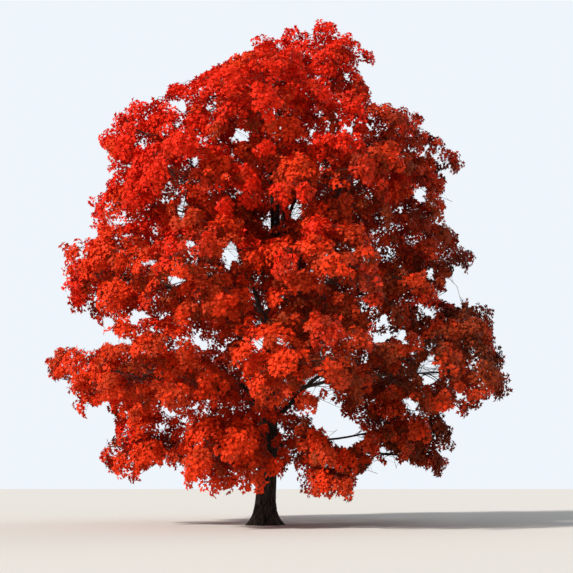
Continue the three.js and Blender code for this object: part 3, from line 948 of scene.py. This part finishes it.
def inner_twigs(part, chance):
    """Twigs that leave the stem of a mass for places all round in it, evenly spread."""
    found = []
    for i in range(INNER_TWIGS):
        height = (2 * i + 1) / INNER_TWIGS - 1
        turn = i * GOLDEN_TURN + INNER_STRAYS * chance()
        level = math.sqrt(1 - height**2)
        way = (height, level * math.cos(turn), level * math.sin(turn))
        share = spread_between(*INNER_ENDS, chance)
        tip = part.mass.middle.copy()
        for axis, half, along in zip(part.mass.axes, part.mass.half, way):
            tip += axis * (half * along * share)
        root = Vector(along_limb(part.stem, [spread_between(*INNER_LEAVES, chance)])[0])
        if part.tests.in_space(tip) and part.tests.clear_of_limbs(tip):
            found.append((root, tip))
    return found


def bough_twigs(bough, chance):
    """Twigs that leave a bough on both sides in turn, outwards and a little up or down."""
    found = []
    on, aside, up = BOUGH_TWIG_WAY
    for i in range(BOUGH_TWIGS):
        share = BOUGH_TWIGS_FROM + (1 - BOUGH_TWIGS_FROM) * (i + 0.5) / BOUGH_TWIGS
        root, ahead = (Vector(place) for place in along_limb(bough.corners, [share, share + AHEAD]))
        heading = (ahead - root).normalized()
        side = UP.cross(heading).normalized() * (1 if i % 2 else -1)
        way = heading * on + side * (aside + BOUGH_TWIG_STRAYS * chance()) + UP * up * chance()
        length = spread_between(*BOUGH_TWIG_LENGTHS, chance)
        found.append((root, root + way.normalized() * length))
    return found


def inner_fan(root, tip):
    """The fan on the outer stretch of an inner twig. It droops a little to its tip, and spreads
    level to both sides."""
    start = root.lerp(tip, INNER_BARE)
    whole = tip - start - UP * (tip - start).length * INNER_DROP
    length = whole.normalized()
    across = UP.cross(length).normalized()
    return (start, length, across, length.cross(across), whole.length, False)


def fans_of(rows):
    """Fans as arrays. A great one stands for a great leaf."""
    names = ("root", "length", "across", "upper", "size", "great")
    return named(names, (np.array(column) for column in zip(*rows)))


def on_fan(fans, chosen, along, across, lift):
    """Places on the chosen fans, in shares of their length. A fan hangs more and more to its tip."""
    lift = lift - FAN_HANG * along**2
    return fans.root[chosen] + fans.size[chosen, None] * (
        fans.length[chosen] * along[:, None]
        + fans.across[chosen] * across[:, None]
        + fans.upper[chosen] * lift[:, None]
    )


def near_box(places):
    """Which of some places lie in the CAD model's box or close to it."""
    low, high = (np.array(corner) for corner in cad_box)
    return np.all((places > low - PAST_BOX) & (places < high + PAST_BOX), axis=1)


def lay_rosettes(fans, random):
    """The rosettes of all fans: their places, the way that each faces, and the side twigs to them."""
    density = np.where(fans.great, GREAT_ROSETTES, INNER_ROSETTES)
    counts = np.maximum(LEAST_ROSETTES, np.round(fans.size**2 * density)).astype(int)
    fan = np.repeat(np.arange(len(counts)), counts)
    place = np.arange(len(fan)) - np.repeat(np.cumsum(counts) - counts, counts)
    out = np.sqrt((place + 0.5) / counts[fan])
    turn = place * GOLDEN_TURN + random.uniform(0, math.tau, len(counts))[fan]
    strays = random.uniform(-ROSETTE_STRAYS, ROSETTE_STRAYS, (3, len(fan)))
    along = DOME_MIDDLE + DOME_HALF[0] * out * np.cos(turn) + strays[0]
    across = DOME_HALF[1] * out * np.sin(turn) + strays[1]
    shoots = np.minimum(random.exponential(SHOOT_RISE, len(fan)), SHOOT_MOST)
    lift = DOME_RISE * (1 - out**2) + strays[2] + shoots
    foot = np.clip(along - SIDE_BACK - SIDE_SLANT * np.abs(across), *SIDE_FEET)
    level = np.zeros(len(fan))
    outwards = (
        fans.length[fan] * (out * np.cos(turn) * FACING_AWAY + FACING_ON)[:, None]
        + fans.across[fan] * (out * np.sin(turn) * FACING_AWAY)[:, None]
        + fans.upper[fan]
    )
    middle = on_fan(fans, fan, along, across, lift)
    kept = near_box(middle) & ~in_window(middle, BARE_WINDOW)
    fans.whole = np.bincount(fan, kept) >= LEAST_KEPT * counts
    kept &= fans.whole[fan]
    fans.reach = np.zeros(len(counts))
    np.maximum.at(fans.reach, fan[kept], foot[kept])
    fans.first = np.ones(len(counts))
    np.minimum.at(fans.first, fan[kept], foot[kept])
    fans.first[fans.first < BARE_FOOT] = 0
    return SimpleNamespace(
        fan=fan[kept],
        root=on_fan(fans, fan, foot, level, level)[kept],
        middle=middle[kept],
        facing=unit(outwards + random.normal(0, FACING_STRAYS, outwards.shape))[kept],
    )


def middle_twigs(fans):
    """The middle twig of every fan, which hangs as the fan does and ends at its last side twig."""
    chosen = np.flatnonzero(fans.whole)
    level = np.zeros(len(chosen))
    first, last = fans.first[chosen], fans.reach[chosen]
    stations = (first, (first + last) / 2, last)
    places = [on_fan(fans, chosen, station, level, level) for station in stations]
    return np.stack(places, axis=1)


def leafy_limbs(limbs, rings, leaves):
    """Rings along each limb, from its root to its last ring that has leaves near it."""
    found = []
    for limb in limbs:
        shares = np.linspace(0, 1, rings + 1)
        leafy = [i for i, place in enumerate(limb(shares)) if leaves.find(place)[2] < LEAVES_NEAR]
        if leafy and leafy[-1]:
            found.append(limb(shares * shares[leafy[-1]]))
    return np.array(found)


def stem_line(part):
    return lambda shares: along_limb(part.stem, shares)


def branch_line(branch):
    return lambda shares: arched(branch.root, branch.spray.middle, BRANCH_ARCH, shares)


def branch_parts(grown, rosettes):
    """The stem and the branches of every mass, each as far as its leaves reach."""
    leaves = KDTree(len(rosettes.middle))
    for i, place in enumerate(rosettes.middle):
        leaves.insert(place, i)
    leaves.balance()
    stems = leafy_limbs([stem_line(part) for part in grown], STEM_DRAWN_RINGS, leaves)
    lines = [branch_line(branch) for part in grown for branch in part.branches]
    paths = leafy_limbs(lines, BRANCH_DRAWN_RINGS, leaves)
    drawn = ((stems, STEM_DRAWN), (paths, BRANCH_DRAWN))
    return [tapering_limbs(lines, radii, LIMB_SIDES) for lines, radii in drawn]


def plain_material(name, colour, roughness, specular):
    material, _, skin = new_material(name)
    skin.inputs["Base Color"].default_value = colour
    skin.inputs["Roughness"].default_value = roughness
    skin.inputs["Specular IOR Level"].default_value = specular
    return material


random = np.random.default_rng(TWIG_SEED)
twig_chance = seeded(TWIG_SEED)
fan_rows = great_fans(grown, twig_chance)
inner = [ends for part in grown for ends in inner_twigs(part, twig_chance)]
inner += [ends for bough in boughs for ends in bough_twigs(bough, twig_chance)]
fan_rows += [inner_fan(root, tip) for root, tip in inner]
carriers = np.array([[root, root.lerp(tip, INNER_BARE)] for root, tip in inner], float)
fans = fans_of(fan_rows)
rosettes = lay_rosettes(fans, random)

# The stems and the branches are made here, where it is known how far their leaves reach
twig_bark = plain_material("twig_bark", *TWIG_LOOK)
branches_mesh = joined_mesh("branches", branch_parts(grown, rosettes))
branches_mesh.shade_smooth()
branches = object_of(branches_mesh, twig_bark)
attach(branches, "root")
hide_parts(*[mass.name for mass in masses])

twig_lines = [
    (carriers[fans.whole[-len(carriers) :]], CARRIER_RADII),
    (middle_twigs(fans), FAN_RADII),
    (np.stack([rosettes.root, rosettes.middle], axis=1), SIDE_RADII),
]
twig_parts = [tapering_limbs(lines, radii, TWIG_SIDES) for lines, radii in twig_lines]
twigs_mesh = joined_mesh("twigs", twig_parts)
twigs_mesh.shade_smooth()
twigs = object_of(twigs_mesh, twig_bark)
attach(twigs, "root")


# The leaves: three pointed lobes each, folded a little at the midrib and bent down at the tip.
# They hang in rosettes and lie like shingles. Their tints are of two families, pure reds at the top
# and warm ones low in the crown and inside it, each in four steps, the darker ones browner. The
# steps and the browner tints inside are painted light and shade: brighter at the top and towards the
# sun at the left, darker inside and on the right.
LEAF_LENGTH = (0.13, 0.18)
# The rings of a rosette: leaves, how far out of the twig they start and how far beyond its tip, and
# how far they hang
RINGS = [(3, 0.015, 0.02, 0.0), (7, 0.06, 0.0, 0.25), (6, 0.11, -0.08, 0.5)]
# How far a leaf strays, how far it faces out of its rosette, how much of its hang is straight down,
# how far it strays round its ring, and how far each ring is turned on
LEAF_STRAYS = 0.4
FACING_OUT = 0.45
STRAIGHT_DOWN = 0.5
TURN_STRAYS = 0.35
RING_TURN = 0.5
# Any direction in which no rosette faces
OFF_ROSETTES = (0.3, 0.2, 1.0)
# Roughness and specular level
LEAF_SHEEN = (0.6, 0.12)
# The corners of a leaf a unit long: across, along and above its stalk
LEAF_OUTLINE = [
    (0.0, 0.0, 0.0), (0.5, 0.52, 0.1), (0.2, 0.56, 0.04),
    (0.0, 1.0, -0.1), (-0.2, 0.56, 0.04), (-0.5, 0.52, 0.1),
]
# Four steps in each family, dark to bright, which stand in for shade and light; the darker ones are
# browner, as painted shade
TINTS = [
    ("maroon", (0.15, 0.016, 0.005, 1.0), "leaves_crimson"),
    ("crimson", (0.31, 0.023, 0.005, 1.0), "leaves_crimson"),
    ("red", (0.57, 0.025, 0.004, 1.0), "leaves_scarlet"),
    ("scarlet", (0.82, 0.022, 0.003, 1.0), "leaves_scarlet"),
    ("umber", (0.16, 0.024, 0.006, 1.0), "leaves_crimson"),
    ("russet", (0.31, 0.036, 0.007, 1.0), "leaves_crimson"),
    ("vermilion", (0.55, 0.038, 0.006, 1.0), "leaves_orange"),
    ("flame", (0.8, 0.042, 0.005, 1.0), "leaves_orange"),
]
# The step of a fan's tint, from 0 to BRIGHTEST, which paints light and shade: what it is at
# MIDDLE_HEIGHT, the painted light that a metre up and the side of the sun add, the painted light
# and shade that x adds, the painted shade that an inner fan loses, what the skirt gains, and how
# far it strays
BRIGHTEST = 3
BRIGHTNESS = 2.15
MIDDLE_HEIGHT = 9.0
PAINTED_LIGHT_BY_HEIGHT = 0.09
PAINTED_SUNLIGHT = 0.75
PAINTED_LIGHT_ACROSS = ((-4.0, 0.0, 6.0), (0.15, 0.25, -0.95))
INNER_PAINTED_SHADE = 0.6
SKIRT_HEIGHT = 4.8
SKIRT_BRIGHTER = 0.6
FAN_TINT_STRAYS = 0.4
ROSETTE_TINT_STRAYS = 0.35
# A fan is of the warm family where these make a sum above 0, strays included. Inner fans are
# pushed to it as painted shade, since its dark tints are browner
WARM_BY_HEIGHT = 0.14
PURE_HEIGHT = 10.5
WARM_BY_RIGHT = 0.02
INNER_PAINTED_SHADE_WARMTH = 0.6
# The tint of a leaf in a window, which isn't made
LEFT_OUT = -1
SUNWARDS = (-0.66, -0.5, 0.56)
LEAVES_PER_PIECE = 48000


def leaf_shape():
    """The corners and the triangles of one leaf, a unit long, with its root at the origin."""
    leaf = bmesh.new()
    corners = [leaf.verts.new(place) for place in LEAF_OUTLINE]
    for i in range(1, len(corners) - 1):
        leaf.faces.new((corners[0], corners[i], corners[i + 1]))
    leaf.verts.index_update()
    places = np.array([vert.co for vert in leaf.verts])
    triangles = np.array([[vert.index for vert in face.verts] for face in leaf.faces])
    leaf.free()
    return places, triangles


def hang_leaves(rosettes, random):
    """The leaves of every rosette: their roots, the way that each points, the side that it faces,
    and the number of its rosette."""
    facing = rosettes.facing
    first = unit(np.cross(facing, np.array(OFF_ROSETTES)))
    second = np.cross(facing, first)
    start = random.uniform(0, math.tau, len(facing))
    roots, ways, sides = [], [], []
    for count, stalk, down, hang in RINGS:
        for leaf in range(count):
            strays = random.uniform(-TURN_STRAYS, TURN_STRAYS, len(facing))
            turn = (start + math.tau * leaf / count + strays)[:, None]
            aside = first * np.cos(turn) + second * np.sin(turn)
            way = aside - facing * hang - np.array(UP) * hang * STRAIGHT_DOWN
            way = unit(way + random.normal(0, LEAF_STRAYS, way.shape))
            side = facing + aside * FACING_OUT + random.normal(0, LEAF_STRAYS, way.shape)
            roots.append(rosettes.middle + facing * down + aside * stalk)
            ways.append(way)
            sides.append(unit(side - way * (side * way).sum(1, keepdims=True)))
        start = start + RING_TURN
    return SimpleNamespace(
        root=np.concatenate(roots),
        way=np.concatenate(ways),
        facing=np.concatenate(sides),
        rosette=np.tile(np.arange(len(facing)), len(roots)),
    )


def tint_of_rosettes(rosettes, fans, random):
    """The number of each rosette's tint: its step in its family, and which family it is of."""
    right, _, height = fans.root.T
    # Most of the step is painted light and shade: brighter up high, on fans facing the sun and on the
    # left, darker on the right and on inner fans
    bright = BRIGHTNESS + PAINTED_LIGHT_BY_HEIGHT * (height - MIDDLE_HEIGHT)
    bright += PAINTED_SUNLIGHT * (fans.upper @ np.array(SUNWARDS))
    bright += np.interp(right, *PAINTED_LIGHT_ACROSS)
    bright -= np.where(fans.great, 0.0, INNER_PAINTED_SHADE)
    bright += np.where(height < SKIRT_HEIGHT, SKIRT_BRIGHTER, 0.0)
    bright += random.normal(0, FAN_TINT_STRAYS, len(bright))
    bright = bright[rosettes.fan] + random.normal(0, ROSETTE_TINT_STRAYS, len(rosettes.fan))
    # Inner fans lean to the warm family, whose browner dark tints paint shade
    warm = WARM_BY_HEIGHT * (PURE_HEIGHT - height) + WARM_BY_RIGHT * right
    warm += np.where(fans.great, 0.0, INNER_PAINTED_SHADE_WARMTH) + random.normal(0, FAN_TINT_STRAYS, len(warm))
    family = (warm > 0)[rosettes.fan]
    return np.clip(np.round(bright), 0, BRIGHTEST).astype(int) + family * (BRIGHTEST + 1)


def leaf_mesh(name, places, triangles):
    """A mesh of leaves, from the places of the corners of each and the triangles of one."""
    starts = np.arange(len(places))[:, None, None] * places.shape[1]
    return joined_mesh(name, [(places.reshape(-1, 3), (triangles + starts).reshape(-1, 3))])


leaves = hang_leaves(rosettes, random)
leaf_tints = tint_of_rosettes(rosettes, fans, random)[leaves.rosette]
leaf_tints[in_window(leaves.root, 1.0)] = LEFT_OUT
shape, shape_triangles = leaf_shape()
leaf_frames = np.stack([np.cross(leaves.way, leaves.facing), leaves.way, leaves.facing], axis=1)
leaf_sizes = random.uniform(*LEAF_LENGTH, len(leaves.root))[:, None, None]
leaf_places = leaves.root[:, None] + leaf_sizes * (shape @ leaf_frames)
for number, (tint, colour, slot) in enumerate(TINTS):
    material = plain_material(f"leaf_{tint}", colour, *LEAF_SHEEN)
    chosen = np.flatnonzero(leaf_tints == number)
    pieces = math.ceil(len(chosen) / LEAVES_PER_PIECE)
    for part, share in enumerate(np.array_split(chosen, pieces), start=1):
        mesh = leaf_mesh(f"leaves_{tint}_{part}", leaf_places[share], shape_triangles)
        piece = object_of(mesh, material)
        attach(piece, "root")


# The studio: a plain pale floor, a plain pale sky round it, a soft light like the low sun from the
# upper left of the front, and a weak one from the other side.
FLOOR_SIZE = 300.0
FLOOR_LOOK = ((0.78, 0.77, 0.74, 1.0), 0.9, 0.1)
SKY_COLOUR = (0.86, 0.91, 0.97, 1.0)
# How bright the sky is to the camera, and how much light it gives
SKY_SEEN = 1.0
SKY_LIGHT = 0.38
# Where each light comes from, its power, how many degrees wide it is, and its colour
LIGHTS = [
    ("key", SUNWARDS, 3.85, 6.0, (1.0, 0.94, 0.86)),
    ("fill", (0.7, 0.5, 0.4), 0.5, 30.0, (1.0, 0.96, 0.92)),
]

floor_shape = bmesh.new()
bmesh.ops.create_grid(floor_shape, x_segments=1, y_segments=1, size=FLOOR_SIZE / 2)
floor = object_of(mesh_of("floor", floor_shape), plain_material("floor", *FLOOR_LOOK))

world = bpy.data.worlds.new("world")
bpy.context.scene.world = world
world.use_nodes = True
sky = Shading(world.node_tree)
seen = sky.node("LightPath", output="Is Camera Ray")
background = world.node_tree.nodes["Background"]
background.inputs["Color"].default_value = SKY_COLOUR
strength = seen * (SKY_SEEN - SKY_LIGHT) + SKY_LIGHT
world.node_tree.links.new(strength.socket, background.inputs["Strength"])

for name, towards, power, softness, colour in LIGHTS:
    light = bpy.data.lights.new(name, "SUN")
    light.energy = power
    light.angle = math.radians(softness)
    light.color = colour
    lamp = bpy.data.objects.new(name, light)
    lamp.rotation_mode = "QUATERNION"
    lamp.rotation_quaternion = Vector(towards).to_track_quat("Z", "Y")
    bpy.context.scene.collection.objects.link(lamp)

bpy.context.scene.view_settings.view_transform = "Standard"
